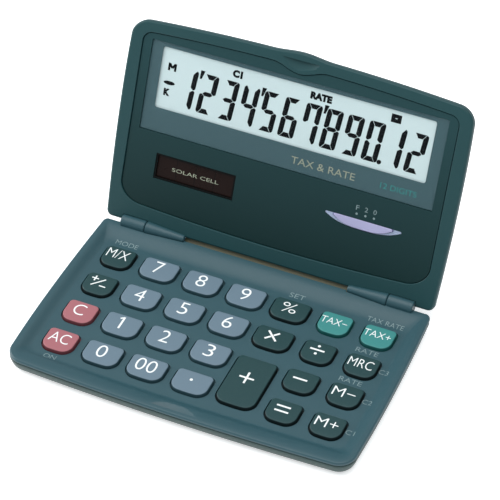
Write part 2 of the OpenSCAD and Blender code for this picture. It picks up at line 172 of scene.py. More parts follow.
# ---- display: the window, its clear part, the row of digits, their segments and the indicators ----
WINDOW_HW, WINDOW_NEAR, WINDOW_FAR = 47.65, 30.8, 59.35
VIEW_HW, VIEW_NEAR, VIEW_FAR = 43.9, 38.5, 57.9
LCD_HW, LCD_NEAR, LCD_FAR = 45.4, 36.5, 58.5
DIGITS = "123456789012"
DIGIT_PITCH, DIGIT_W, DIGIT_TALL = 6.716, 5.15, 12.5
DIGIT_X, DIGIT_V = -37.65, 40.35
SLANT, STROKE = 0.085, 1.62
SEGMENTS = {"0": "abcdef", "1": "bc", "2": "abged", "3": "abgcd", "4": "fgbc", "5": "afgcd", "6": "afgedc",
            "7": "fabc", "8": "abcdefg", "9": "abcdfg"}
TICKED, POINTED = (0, 3, 6), 9
INDICATORS = [("K", -40.9, 43.9, 2.1, 2.3), ("C1", -19.3, 55.4, 3.2, 2.4), ("RATE", 7.7, 55.4, 6.9, 2.3)]

# ---- solar window, switch and the places of the switch's marks ----
SOLAR_X0, SOLAR_X1, SOLAR_V0, SOLAR_V1 = -40.7, -14.2, 16.3, 24.5
SWITCH_X, SWITCH_V = 27.65, 22.05
KNOB_TOP, KNOB_LOW = 0.05, -0.28
SWITCH_MARKS = {"F": 25.2, "2": 28.0, "0": 30.75}


# ---- outlines ----
def arc(cx, cy, r, start, end, n=5):
    """Points on an arc about (cx, cy), in n steps from the angle start to end in degrees."""
    angles = [math.radians(start + (end - start) * i / n) for i in range(n + 1)]
    return [(cx + r * math.cos(a), cy + r * math.sin(a)) for a in angles]


def edge(p, q, n):
    """The points inside a straight edge that is cut into n."""
    return [(p[0] + (q[0] - p[0]) * i / n, p[1] + (q[1] - p[1]) * i / n) for i in range(1, n)]


def round_box(a, v0, v1, rn, rf, nc=12, ne=16, nf=48):
    """A box of half width a from v0 to v1, with near corners of radius rn and far ones of rf."""
    return (arc(a - rf, v1 - rf, rf, 0, 90, nc) + edge((a - rf, v1), (rf - a, v1), nf)
            + arc(rf - a, v1 - rf, rf, 90, 180, nc) + edge((-a, v1 - rf), (-a, v0 + rn), ne)
            + arc(rn - a, v0 + rn, rn, 180, 270, nc) + edge((rn - a, v0), (a - rn, v0), nf)
            + arc(a - rn, v0 + rn, rn, 270, 360, nc) + edge((a, v0 + rn), (a, v1 - rf), ne))


def bump(x, w):
    """A smooth bump of height 1 and half width w."""
    return 0.5 * (1 + math.cos(math.pi * x / w)) if abs(x) < w else 0.0


def side_bow(v):
    """How far a leaf's side has drawn in from its widest place."""
    widest, near_bow, far_bow, far_reach = 42, 1.2, 0.6, 25
    if v < widest:
        return near_bow * ((v - widest) / widest) ** 2
    return far_bow * ((v - widest) / far_reach) ** 2


def bowed(p, length, bow, tab):
    """A point of a leaf's outline, with bowed sides, a bowed far edge and a tab in that edge's middle."""
    x, v = p
    far = max(0.0, (v - length / 2) / (length / 2))
    return (x * (1 - side_bow(v) / LEAF_HW), v - far * (bow * (x / BOW_REACH) ** 2 - tab * bump(x, TAB_HW)))


def base_line(d, e=0.0, least=0.5, near=None):
    """The key leaf's outline, inset by d, and by e more along the front, with its hinge edge at near."""
    v0 = BASE_NEAR + d if near is None else near
    near_r, far_r = max(BASE_NEAR_R - d, least), max(FAR_R - d, least)
    box = round_box(LEAF_HW - d, v0, BASE_LEN - d - e, near_r, far_r)
    return [bowed(p, BASE_LEN, BASE_BOW, 0) for p in box]


def lid_line(d):
    """The display leaf's outline, inset by d."""
    near_r, far_r = max(LID_NEAR_R - d, 0.5), max(FAR_R - d, 0.8)
    box = round_box(LEAF_HW - d, LID_NEAR + d, LID_LEN - d, near_r, far_r)
    return [bowed(p, LID_LEN, LID_BOW, TAB_RISE) for p in box]


def panel_line(d):
    """The inset panel's outline, inset by d: its far edge dips round the finger scoop."""
    half_width, near, far, near_r, far_r = 50.8, 5.3, 63.1, 7, 3
    reach, near_bow, near_fade = 47, 2.2, 20
    far_half, far_bow, dip, dip_hw = 40, 1.7, 2.3, 9
    line = []
    for x, v in round_box(half_width - d, near + d, far - d, near_r - d, far_r - d):
        if v > far_half:
            line.append((x, v - far_bow * (x / reach) ** 2 - dip * bump(x, dip_hw)))
        else:
            line.append((x, v + max(0, 1 - v / near_fade) * near_bow * (x / reach) ** 2))
    return line


def key_size(name):
    """A key's width and length."""
    column, row = KEYS[name][1:3]
    if row == PLUS_ROW:
        return PLUS_W, PLUS_LEN
    return (SLIM_KEY if column in (0, 5, 6) else WIDE_KEY), KEY_LEN


def key_middle(name):
    """The x and v of a key's middle."""
    column, row = KEYS[name][1:3]
    return COLUMNS[column], FIRST_ROW + row * ROW_PITCH


def key_line(name, d):
    """A key's outline, grown by d: tight rear corners, wide front corners, a bowed front edge."""
    rear_r, front_r, bow = 1.4, 3, 0.4
    w, length = key_size(name)
    x0, v0 = key_middle(name)
    rear, front = max(rear_r + d, 0.3), max(front_r + d, 0.5)
    box = round_box(w / 2 + d, -length / 2 - d, length / 2 + d, rear, front, 8, 6, 8)
    return [(x0 + x, v0 + v - (bow * (2 * x / w) ** 2 if v > 0 else 0)) for x, v in box]


def dot(x, v, r, n=20):
    """A circle of n points about (x, v)."""
    return [(x + r * math.cos(2 * math.pi * i / n), v + r * math.sin(2 * math.pi * i / n)) for i in range(n)]


def bar(x0, v0, x1, v1, thick):
    """A straight stroke from one point to another."""
    dx, dv = x1 - x0, v1 - v0
    length = math.hypot(dx, dv)
    nx, nv = -dv / length * thick / 2, dx / length * thick / 2
    return [(x0 + nx, v0 + nv), (x0 - nx, v0 - nv), (x1 - nx, v1 - nv), (x1 + nx, v1 + nv)]


def rectangle(x0, x1, v0, v1):
    return [(x0, v0), (x1, v0), (x1, v1), (x0, v1)]


# ---- meshes in leaf millimetres ----
def mesh_of(points, faces):
    """A mesh from points and faces, with all its faces turned outwards."""
    mesh = bpy.data.meshes.new("part")
    mesh.from_pydata(points, [], faces)
    bm = bmesh.new()
    bm.from_mesh(mesh)
    bmesh.ops.recalc_face_normals(bm, faces=bm.faces)
    bm.to_mesh(mesh)
    bm.free()
    return mesh


def mesh_from(bm):
    """A finished bmesh as a new mesh."""
    mesh = bpy.data.meshes.new("part")
    bm.to_mesh(mesh)
    bm.free()
    return mesh


def skin(rings):
    """A closed skin through rings that have the same number of points."""
    n = len(rings[0])
    points = [p for ring in rings for p in ring]
    faces = [list(range(n)), list(range(n * (len(rings) - 1), n * len(rings)))]
    for k in range(len(rings) - 1):
        for i in range(n):
            j = (i + 1) % n
            faces.append([k * n + i, k * n + j, (k + 1) * n + j, (k + 1) * n + i])
    return mesh_of(points, faces)


def loft(rings):
    """A closed skin through outlines, each with its height, which may be a function of x and v."""
    return skin([[(x, v, height(x, v) if callable(height) else height) for x, v in line]
                 for line, height in rings])


def plate(line, low, high):
    """An outline as a flat plate between two heights."""
    return loft([(line, low), (line, high)])


def block(x0, x1, v0, v1, low, high):
    return plate(rectangle(x0, x1, v0, v1), low, high)


def rods(spots, low, high, r):
    """Upright rods of radius r, one at each (x, v) of spots."""
    return joined([plate(dot(x, v, r, 32), low, high) for x, v in spots])


def turned(profile, n=48):
    """A bar turned about the hinge axis, through (x, radius) pairs."""
    angles = [2 * math.pi * i / n for i in range(n)]
    return skin([[(x, r * math.cos(a), RISE + r * math.sin(a)) for a in angles] for x, r in profile])


def joined(meshes):
    """Separate meshes as one mesh."""
    bm = bmesh.new()
    for mesh in meshes:
        bm.from_mesh(mesh)
    return mesh_from(bm)


def new_object(name, data):
    """An object in the scene's collection."""
    made = bpy.data.objects.new(name, data)
    bpy.context.scene.collection.objects.link(made)
    return made


def carved(mesh, tool, operation="DIFFERENCE"):
    """mesh with tool cut from it, or added to it."""
    body = new_object("part", mesh)
    cutter = new_object("part", tool)
    cut = body.modifiers.new("cut", "BOOLEAN")
    cut.operation = operation
    cut.solver = "EXACT"
    cut.object = cutter
    bpy.context.view_layer.update()
    depsgraph = bpy.context.evaluated_depsgraph_get()
    result = bpy.data.meshes.new_from_object(body.evaluated_get(depsgraph))
    for used in (body, cutter):
        bpy.data.objects.remove(used)
    return result


# ---- pieces ----
KEY_LEAF = Matrix.Translation((0, HINGE_Y * MM, BASE_T * MM)) @ Matrix.Diagonal((MM, -MM, MM, 1))
LID = (Matrix.Translation((0, HINGE_Y * MM, HINGE_Z * MM)) @ Matrix.Rotation(TILT, 4, "X")
       @ Matrix.Translation((0, 0, -RISE * MM)) @ Matrix.Diagonal((MM, MM, MM, 1)))
LEAVES = {"key_leaf": KEY_LEAF, "display_leaf": LID, "mode_switch": LID}
SHARP, FILM_SHARP = math.radians(38), math.radians(50)


def smoothed(mesh, sharp):
    """Shades a mesh smooth, with edges steeper than the angle sharp kept crisp."""
    mesh.polygons.foreach_set("use_smooth", [True] * len(mesh.polygons))
    mesh.set_sharp_from_angle(angle=sharp)


def place(mesh, name, body, material, replaces=()):
    """A leaf mesh as a finished piece: carried to the frame, smoothed, painted and riding."""
    carry = LEAVES.get(body, KEY_LEAF)
    mesh.transform(carry)
    if carry.determinant() < 0:
        mesh.flip_normals()
    mesh.name = name
    piece = new_object(name, mesh)
    mesh.materials.clear()
    mesh.materials.append(INK.get(material) or MATERIALS[material])
    smoothed(mesh, SHARP)
    weighted = piece.modifiers.new("weighted_normals", "WEIGHTED_NORMAL")
    weighted.keep_sharp = True
    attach(piece, body)
    if replaces:
        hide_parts(*replaces)
    return piece


# ---- materials ----
def linear(r, g, b):
    """A display colour of 0 to 255 as the linear colour of a shader."""
    return [((c / 255 + 0.055) / 1.055) ** 2.4 if c > 10 else c / 255 / 12.92 for c in (r, g, b)]


def new_material(name):
    """A new material, with its nodes, links and main shader."""
    material = bpy.data.materials.new(name)
    material.use_nodes = True
    tree = material.node_tree
    return material, tree.nodes, tree.links, tree.nodes["Principled BSDF"]


def noise(nodes, links, scale, detail=2.0, stretch=None):
    """Noise in object space, scale in waves per metre, and longer along an axis if stretched."""
    texture = nodes.new("ShaderNodeTexNoise")
    texture.inputs["Scale"].default_value = scale
    texture.inputs["Detail"].default_value = detail
    place_in = nodes.new("ShaderNodeTexCoord").outputs["Object"]
    if stretch:
        mapping = nodes.new("ShaderNodeMapping")
        mapping.inputs["Scale"].default_value = stretch
        links.new(place_in, mapping.inputs["Vector"])
        place_in = mapping.outputs["Vector"]
    links.new(place_in, texture.inputs["Vector"])
    return texture.outputs["Fac"]


def ramp(nodes, links, factor, low, high):
    """factor turned into a value or colour between low and high."""
    mix = nodes.new("ShaderNodeMapRange")
    mix.inputs["From Min"].default_value = 0.3
    mix.inputs["From Max"].default_value = 0.7
    mix.inputs["To Min"].default_value = low
    mix.inputs["To Max"].default_value = high
    links.new(factor, mix.inputs["Value"])
    return mix.outputs["Result"]


def tinted(nodes, links, factor, colour, spread):
    """colour, a little darker or lighter with factor."""
    mix = nodes.new("ShaderNodeMix")
    mix.data_type = "RGBA"
    mix.inputs["A"].default_value = [c * (1 - spread) for c in colour] + [1]
    mix.inputs["B"].default_value = [min(1, c * (1 + spread)) for c in colour] + [1]
    links.new(factor, mix.inputs["Factor"])
    return mix.outputs["Result"]


def grainy(name, colour, rough, spread=0.05, grain=1800, depth=0.006, metallic=0.0, stretch=None,
           gloss=0.35):
    """A moulded or metal surface: fine bump, uneven gloss and slightly uneven colour. depth in mm."""
    material, nodes, links, shader = new_material(name)
    shader.inputs["Metallic"].default_value = metallic
    shader.inputs["Specular IOR Level"].default_value = gloss
    blotch = noise(nodes, links, 60, 3)
    fine = noise(nodes, links, grain, 2, stretch)
    links.new(tinted(nodes, links, blotch, linear(*colour), spread), shader.inputs["Base Color"])
    links.new(ramp(nodes, links, fine, rough * 0.85, min(1, rough * 1.15)), shader.inputs["Roughness"])
    bumps = nodes.new("ShaderNodeBump")
    bumps.inputs["Distance"].default_value = depth * MM
    bumps.inputs["Strength"].default_value = 1.0
    links.new(fine, bumps.inputs["Height"])
    links.new(bumps.outputs["Normal"], shader.inputs["Normal"])
    return material


def panel_with_painted_shade(name, near, far, low, high):
    """Satin plastic with painted shade: its colour deepens from the colour far to near as height falls from high
    to low, in metres, standing in for the shade that deepens towards the hinge.
    """
    material = grainy(name, near, 0.4, 0.05, 3000, 0.002, gloss=0.15)
    nodes, links = material.node_tree.nodes, material.node_tree.links
    height = nodes.new("ShaderNodeSeparateXYZ")
    links.new(nodes.new("ShaderNodeTexCoord").outputs["Object"], height.inputs["Vector"])
    span = nodes.new("ShaderNodeMapRange")
    span.inputs["From Min"].default_value = low
    span.inputs["From Max"].default_value = high
    links.new(height.outputs["Z"], span.inputs["Value"])
    mix = nodes.new("ShaderNodeMix")
    mix.data_type = "RGBA"
    even = nodes["Principled BSDF"].inputs["Base Color"].links[0].from_socket
    mix.inputs["B"].default_value = linear(*far) + [1]
    links.new(span.outputs["Result"], mix.inputs["Factor"])
    links.new(even, mix.inputs["A"])
    links.new(mix.outputs["Result"], nodes["Principled BSDF"].inputs["Base Color"])
    return material


def clear(name, colour, alpha, rough=0.06):
    """A see-through surface with very fine scratches in its gloss."""
    material, nodes, links, shader = new_material(name)
    shader.inputs["Alpha"].default_value = alpha
    shader.inputs["Base Color"].default_value = linear(*colour) + [1]
    scratches = noise(nodes, links, 900, 2, (1, 12, 12))
    links.new(ramp(nodes, links, scratches, rough * 0.6, rough * 1.6), shader.inputs["Roughness"])
    return material


MATERIALS = {
    "case_plastic": grainy("case_plastic", (40, 73, 81), 0.42, gloss=0.45),
    "lower_shell": grainy("lower_shell", (37, 61, 59), 0.42, gloss=0.35),
    "lid_plastic": grainy("lid_plastic", (23, 61, 64), 0.42, gloss=0.3),
    # the face panel's colour darkens towards the hinge: painted shade
    "panel_plastic": panel_with_painted_shade("panel_plastic", (15, 41, 41), (31, 61, 64), 0.008, 0.06),
    "clear_plastic": clear("clear_plastic", (30, 38, 40), 0.05),
    "mask_print": grainy("mask_print", (65, 92, 98), 0.5, 0.03, 2500, 0.002, gloss=0.2),
    "polariser_film": grainy("polariser_film", (203, 222, 223), 0.5, 0.01, 2500, 0.001, gloss=0.2),
    "display_glass": clear("display_glass", (160, 175, 172), 0.2),
    "reflector_film": grainy("reflector_film", (205, 215, 210), 0.35),
    "holder_plastic": grainy("holder_plastic", (215, 215, 208), 0.5),
    "connector_rubber": grainy("connector_rubber", (90, 60, 70), 0.7, 0.2, 1500, 0.01,
                               stretch=(1, 0.05, 0.05)),
    "mat_rubber": grainy("mat_rubber", (200, 200, 195), 0.6),
    "carbon_rubber": grainy("carbon_rubber", (26, 26, 28), 0.75),
    "circuit_board": grainy("circuit_board", (40, 105, 60), 0.35, 0.15),
    "chip_resin": grainy("chip_resin", (20, 20, 22), 0.3),
    "component_body": grainy("component_body", (170, 145, 110), 0.4, 0.1),
    "cell_steel": grainy("cell_steel", (205, 206, 208), 0.28, 0.03, 1500, 0.003, 1.0, (1, 8, 8)),
    "spring_steel": grainy("spring_steel", (195, 196, 198), 0.32, 0.03, 1500, 0.003, 1.0, (8, 1, 1)),
    "screw_steel": grainy("screw_steel", (175, 176, 178), 0.35, 0.06, 2500, 0.004, 1.0),
    "pin_steel": grainy("pin_steel", (210, 211, 213), 0.2, 0.02, 2500, 0.002, 1.0),
    "amber_film": grainy("amber_film", (94, 93, 70), 0.4, 0.06),
    "solar_glass": grainy("solar_glass", (27, 15, 12), 0.3, 0.12, 300, 0.001, gloss=0.12),
    "lilac_plastic": grainy("lilac_plastic", (161, 160, 193), 0.34, 0.03, 2500, 0.003),
    "switch_well": grainy("switch_well", (150, 163, 188), 0.34, 0.03, 2500, 0.003),
    "key_number": grainy("key_number", (95, 115, 128), 0.5, 0.03),
    "key_dark": grainy("key_dark", (23, 57, 59), 0.48, 0.04),
    "key_clear": grainy("key_clear", (154, 95, 101), 0.5, 0.03),
    "key_tax": grainy("key_tax", (54, 126, 123), 0.48, 0.03),
}

# ---- the walls of the keys: darker copies of the key colours, painted shade ----
WALL_SHADES = {
    "number": grainy("key_number_wall_shade", (44, 72, 80), 0.55, 0.03),
    "dark": grainy("key_dark_wall_shade", (12, 28, 30), 0.55, 0.04),
    "clear": grainy("key_clear_wall_shade", (112, 60, 66), 0.55, 0.03),
    "tax": grainy("key_tax_wall_shade", (24, 86, 84), 0.55, 0.03),
}

# ---- prints and thin edges, which have no slot of their own in the record ----
INK = {
    # a dark crescent under the switch knob: painted shadow
    "knob_painted_shadow": grainy("knob_painted_shadow", (84, 84, 124), 0.5, 0.03),
    "white_ink": grainy("white_ink", (226, 230, 229), 0.55, 0.02),
    "teal_ink": grainy("teal_ink", (44, 136, 132), 0.6, 0.04),
    "pale_ink": grainy("pale_ink", (150, 156, 136), 0.6, 0.04),
    "beige_ink": grainy("beige_ink", (118, 138, 140), 0.6, 0.04),
    "display_ink": grainy("display_ink", (5, 9, 12), 0.6, 0.1, gloss=0.1),
    "black_border": grainy("black_border", (6, 8, 8), 0.4, 0.1, gloss=0.1),
}


def paint_cad_nodes():
    """Every carried-over CAD node takes the material of its slot in the record."""
    slots = {s["node"]: s["material_slot"] for s in frame["record"]["subparts"]}
    for name, node in frame["nodes"].items():
        node.data.materials.clear()
        node.data.materials.append(MATERIALS[slots[name]])


# ---- shared tools of the two leaves ----
def cone_radius(x):
    """The radius of the lid's tapered barrel at x."""
    t = (x - BARREL_IN) / (BARREL_SEAM - SEAM_GAP - BARREL_IN)
    return BARREL_THIN + t * (BARREL_R - BARREL_THIN)


def lid_barrel(extra=0.0):
    """The lid's tapered barrels, as (x, radius) pairs, grown by extra."""
    seam = BARREL_SEAM - SEAM_GAP
    if extra:
        return [(BARREL_IN - extra, BARREL_THIN + extra), (seam, BARREL_R + extra)]
    tip, root, bore = 0.55, 0.25, 0.3
    end = arc(BARREL_IN + tip, BARREL_THIN - tip, tip, 180, 90, 6)
    return [(BARREL_IN, bore)] + end + [(seam - root, cone_radius(seam - root)), (seam, BARREL_R - root)]


def base_barrel(extra=0.0):
    """The base's straight barrels, as (x, radius) pairs, grown by extra."""
    inner = BARREL_SEAM + SEAM_GAP
    if extra:
        return [(inner - extra, BARREL_R + extra), (BARREL_OUT + extra, BARREL_R + extra)]
    root, tip = 0.25, 0.4
    start = [(inner, BARREL_R - root), (inner + root, BARREL_R)]
    return start + arc(BARREL_OUT - tip, BARREL_R - tip, tip, 90, 0, 6)


def both(profile):
    """A turned profile on the right, and its mirror image on the left."""
    return joined([turned(profile), turned([(-x, r) for x, r in profile])])


def scoop(v, h, r, far):
    """A ball about (0, v, h), cut off at the distance far, for a finger scoop."""
    bm = bmesh.new()
    bmesh.ops.create_icosphere(bm, subdivisions=6, radius=r, matrix=Matrix.Translation((0, v, h)))
    everything = bm.verts[:] + bm.edges[:] + bm.faces[:]
    cut = bmesh.ops.bisect_plane(bm, geom=everything, plane_co=(0, far, 0), plane_no=(0, 1, 0),
                                 clear_outer=True)
    rim = [e for e in cut["geom_cut"] if isinstance(e, bmesh.types.BMEdge)]
    bmesh.ops.contextual_create(bm, geom=rim)
    bmesh.ops.recalc_face_normals(bm, faces=bm.faces)
    return mesh_from(bm)


def outer_shell(line, profile, screws, boss, head, gaps):
    """A leaf's outer shell: its profile, screw bosses (low, high, radius), screw heads (low, high), cuts
    for the lid's and the base's barrels with their gaps, and the slot for the film."""
    shell = loft([(line(d), h) for d, h in profile])
    shell = carved(shell, rods(screws, *boss), "UNION")
    shell = carved(shell, rods(screws, *head, HEAD_R))
    shell = carved(shell, rods(screws, -5, 0, SHANK_R))
    shell = carved(shell, both(lid_barrel(gaps[0])))
    shell = carved(shell, both(base_barrel(gaps[1])))
    film_slot = block(-FILM_HW - 0.6, FILM_HW + 0.6, 0, 4, FILM_H - 0.3, 0)
    return carved(shell, film_slot)


# ---- key leaf ----
def surface_of(mesh):
    """A function that gives the height of a mesh's top at x and v."""
    tree = BVHTree.FromPolygons([p.co for p in mesh.vertices], [f.vertices for f in mesh.polygons])
    return lambda x, v: tree.ray_cast(Vector((x, v, 5)), Vector((0, 0, -1)))[0].z


def slope(t):
    """A smooth step from 0 to 1."""
    return t * t * (3 - 2 * t)


def key_leaf_rings():
    """The upper shell's outlines and heights: inner lip, rounded rim and the slope down to the dish."""
    rim_r, rim_in, dish_in, lip, back, steps = 0.7, 1.6, 5.4, 1.6, 0.5, 12
    rings = [(base_line(rim_in), UNDER_TOP), (base_line(rim_in), SPLIT), (base_line(0.35, near=back), SPLIT),
             (base_line(0.1, near=back), SPLIT + 0.1), (base_line(0, near=back), SPLIT + 0.25)]
    rings += [(base_line(d, near=back + 0.3 * d), h) for d, h in arc(rim_r, -rim_r, rim_r, 180, 90)]
    slope_near = back + 0.9
    for i in range(steps + 1):
        t = i / steps
        inset = rim_in + (dish_in - rim_in) * t
        near = slope_near + (DISH_NEAR - slope_near) * t
        rings.append((base_line(inset, lip * slope(min(1, 2 * t)), 0.5 + 2.5 * t, near), DISH * slope(t)))
    return rings


def key_leaf_top():
    """The upper shell, with its key holes, hinge barrels, film slot and finger scoop."""
    shell = loft(key_leaf_rings())
    shell = carved(shell, joined([key_hole(name) for name in KEYS]))
    shell = carved(shell, both(lid_barrel(RUN)))
    film_slot = block(-FILM_HW - 1, FILM_HW + 1, 1.5, 4.2, -3, SPLIT)
    shell = carved(shell, film_slot)
    shell = carved(shell, scoop(*BASE_SCOOP))
    shell = carved(shell, both(base_barrel()), "UNION")
    surface = surface_of(shell)
    place(shell, "key_leaf_top", "key_leaf", "case_plastic", ["base_top_case"])
    return surface


def key_hole(name):
    """The cutter of one key hole, flared at the top so that the hole's edge is rounded."""
    gap, flare = 0.46, 0.12
    rings = [(key_line(name, gap), -3), (key_line(name, gap), DISH - flare)]
    rings += [(key_line(name, gap + flare + d), h) for d, h in arc(0, DISH - flare, flare, 180, 90)[1:]]
    return loft(rings + [(key_line(name, gap + flare), 1)])


def key_leaf_bottom():
    """The lower shell."""
    shell = outer_shell(base_line, BASE_PROFILE, BASE_SCREWS, (FLOOR_TOP - 0.3, BOSS_MEET, 2.4), (-7, -4.45),
                        (RUN, SNUG))
    place(shell, "key_leaf_bottom", "key_leaf", "lower_shell", ["base_bottom_case"])


# ---- keys ----
def key_height(name, x, v):
    """The height of a key's slightly crowned top."""
    w, length = key_size(name)
    x0, v0 = key_middle(name)
    return KEY_TOP - CROWN * (((x - x0) * 2 / w) ** 2 + ((v - v0) * 2 / length) ** 2) / 2


def key_cap(name):
    """A moulded cap: retaining flange, drafted wall, rounded edge and crowned top."""
    draft, flange, top_rings = 0.08, 0.65, 5
    rings = [(key_line(name, flange), FLANGE_LOW), (key_line(name, flange), FLANGE_TOP),
             (key_line(name, 0), FLANGE_TOP), (key_line(name, 0), DISH)]
    for d, h in arc(0, 0, KEY_EDGE, 180, 90, 6):
        sink = KEY_EDGE - h
        outline = key_line(name, -draft - KEY_EDGE - d)
        rings.append((outline, lambda x, v, s=sink: key_height(name, x, v) - s))
    reach = min(key_size(name)) / 2 - 0.6
    for i in range(1, top_rings + 1):
        inset = draft + KEY_EDGE + (reach - draft - KEY_EDGE) * i / top_rings
        rings.append((key_line(name, -inset), lambda x, v: key_height(name, x, v)))
    return loft(rings)


def sign_strokes(sign, w, h):
    """Outlines of a drawn sign about its middle, with v growing towards the user."""
    t = 0.62
    across = bar(-w / 2, 0, w / 2, 0, t)
    if sign == "plus":
        return [across, bar(0, -h / 2, 0, -t / 2, t), bar(0, t / 2, 0, h / 2, t)]
    if sign == "minus":
        return [across]
    if sign == "equals":
        return [bar(-w / 2, -1, w / 2, -1, t), bar(-w / 2, 1, w / 2, 1, t)]
    if sign == "divide":
        r = 0.45
        return [across, dot(0, -h / 2 + r, r), dot(0, h / 2 - r, r)]
    if sign == "multiply":
        a, inner = w / 2 - 0.2, t / 2
        return [bar(-a, -a, a, a, t), bar(-a, a, -inner, inner, t), bar(inner, -inner, a, -a, t)]
    if sign == "sign":
        strokes = [(-2.8, -1.2, -0.6, -1.2), (-1.7, -2.3, -1.7, -1.41), (-1.7, -0.99, -1.7, -0.1),
                   (-1.9, 1.9, 1.6, -1.7), (0.7, 1.4, 2.8, 1.4)]
        return [bar(*stroke, 0.42) for stroke in strokes]
    if sign == "1":
        return [bar(0.1, -h / 2, 0.1, h / 2, t), bar(-1.0, -h / 2 + 0.9, -t / 2 + 0.1, -h / 2 + 0.3, 0.5)]
    return [dot(0, 0, w / 2)]


def lettering(text, w, h, thin=0.0):
    """The text in the built-in font as flat outlines, w by h about its middle. h is negative for a leaf
    whose v grows away from the user, and thin takes weight off the letters, or adds it if negative."""
    curve = bpy.data.curves.new("letters", "FONT")
    curve.body = text
    curve.size = 10
    curve.resolution_u = 6
    curve.offset = -thin
    writing = new_object("letters", curve)
    bpy.context.view_layer.update()
    flat = bpy.data.meshes.new_from_object(writing.evaluated_get(bpy.context.evaluated_depsgraph_get()))
    bpy.data.objects.remove(writing)
    xs = [p.co.x for p in flat.vertices]
    ys = [p.co.y for p in flat.vertices]
    middle = Matrix.Translation((-(min(xs) + max(xs)) / 2, -(min(ys) + max(ys)) / 2, 0))
    fit = Matrix.Diagonal((w / (max(xs) - min(xs)), -h / (max(ys) - min(ys)), 1, 1))
    flat.transform(fit @ middle)
    return flat


def thickened(flat, thick):
    """A flat mesh as a closed solid, thick above its own height."""
    bm = bmesh.new()
    bm.from_mesh(flat)
    bmesh.ops.remove_doubles(bm, verts=bm.verts, dist=1e-5)
    top = bmesh.ops.extrude_face_region(bm, geom=bm.faces[:])
    for p in top["geom"]:
        if isinstance(p, bmesh.types.BMVert):
            p.co.z += thick
    bmesh.ops.recalc_face_normals(bm, faces=bm.faces)
    return mesh_from(bm)


def print_on(flat, x, v, height, name, body, ink, thick=0.02):
    """A flat print as a thin raised layer on a surface whose height is a function of x and v."""
    sunk = 0.004
    mesh = thickened(flat, thick)
    for p in mesh.vertices:
        p.co.x += x
        p.co.y += v
        p.co.z += height(p.co.x, p.co.y) - sunk
    place(mesh, name, body, ink)


def flat_shapes(outlines):
    """Flat faces from closed outlines."""
    points = [(x, v, 0) for line in outlines for x, v in line]
    faces, start = [], 0
    for line in outlines:
        faces.append(list(range(start, start + len(line))))
        start += len(line)
    return mesh_of(points, faces)


def key(name):
    """One key: its cap, whose walls take a darker copy of its colour as painted shade, and its legend."""
    legend, _, _, colour, w, h = KEYS[name]
    cap = key_cap(name)
    # the cap's steep faces and all below the dish, which get the painted shade
    painted_shade_faces = [abs(f.normal.z) < 0.5 or f.center.z < DISH for f in cap.polygons]
    piece = place(cap, name + "_cap", name + "_body", "key_" + colour, [name])
    piece.data.materials.append(WALL_SHADES[colour])
    piece.data.polygons.foreach_set("material_index", [int(side) for side in painted_shade_faces])
    x0, v0 = key_middle(name)
    back = FAR_LEGENDS.get(legend, LEGEND_BACK)
    flat = flat_shapes(sign_strokes(legend, w, h)) if legend in DRAWN else lettering(legend, w, h, 0.1)
    print_on(flat, x0 - LEGEND_LEFT, v0 - back, lambda x, v: key_height(name, x, v),
             name + "_legend", name + "_body", "white_ink")


def labels(surface):
    """The small labels, draped on the key leaf's surface."""
    for name, (text, x, v, w) in LABELS.items():
        print_on(lettering(text, w, LABEL_H, 0.1), x, v, surface, "label_" + name, "key_leaf", "beige_ink")


# ---- display leaf ----
def lid_front():
    """The bezel: rounded rim, pocket for the panel, finger scoop and tapered hinge barrels."""
    rim_r, lip, soft = 0.8, 1.6, 0.22
    rings = [(lid_line(lip), FRAME_LOW), (lid_line(lip), LID_SPLIT), (lid_line(0.35), LID_SPLIT),
             (lid_line(0.1), LID_SPLIT + 0.1), (lid_line(0), LID_SPLIT + 0.25)]
    rings += [(lid_line(d), h) for d, h in arc(rim_r, -rim_r, rim_r, 180, 90)]
    pocket = [(panel_line(0), PANEL_LOW)]
    pocket += [(panel_line(-soft - d), h) for d, h in arc(0, -soft, soft, 180, 90)]
    shell = carved(loft(rings), loft(pocket + [(panel_line(-soft), 1)]))
    shell = carved(shell, plate(panel_line(1.6), -3, 0))
    display_room = block(-48, 48, 31, 61.1, -3, PANEL_LOW)
    film_slot = block(-FILM_HW - 1, FILM_HW + 1, 1.5, 5, -3, LID_SPLIT)
    shell = carved(shell, display_room)
    shell = carved(shell, both(base_barrel(RUN)))
    shell = carved(shell, film_slot)
    shell = carved(shell, scoop(*LID_SCOOP))
    shell = carved(shell, rods(LID_SCREWS, LID_MEET, PANEL_LOW, 1.8), "UNION")
    place(shell, "display_leaf_front", "display_leaf", "lid_plastic", ["lid_front_frame"])
    # the cones belong to the display leaf but take the lighter case colour: painted light, for their upward faces
    place(both(lid_barrel()), "hinge_cones", "display_leaf", "case_plastic")


def lid_rear():
    """The rear tray of the display leaf."""
    shell = outer_shell(lid_line, LID_PROFILE, LID_SCREWS, (LID_FLOOR - 0.3, LID_MEET, 2.3), (-6, -3.65),
                        (SNUG, RUN))
    place(shell, "display_leaf_rear", "display_leaf", "lid_plastic", ["lid_rear_case"])


def crescent(chord, depth, tip=0.45, fullness=3.0, n=40):
    """A crescent with a straight far edge, full sides and tips rounded to the radius tip."""
    reach, v = chord / 2 - tip, SWITCH_V - tip
    side = []
    for i in range(n + 1):
        u = 2 * i / n - 1
        sag = (depth - 2 * tip) * (1 - abs(u) ** fullness)
        side.append((SWITCH_X + u * reach, v - tip - sag))
    right = arc(SWITCH_X + reach, v, tip, -90, 90, 10)[1:]
    left = arc(SWITCH_X - reach, v, tip, 90, 270, 10)[:-1]
    return side + right + left


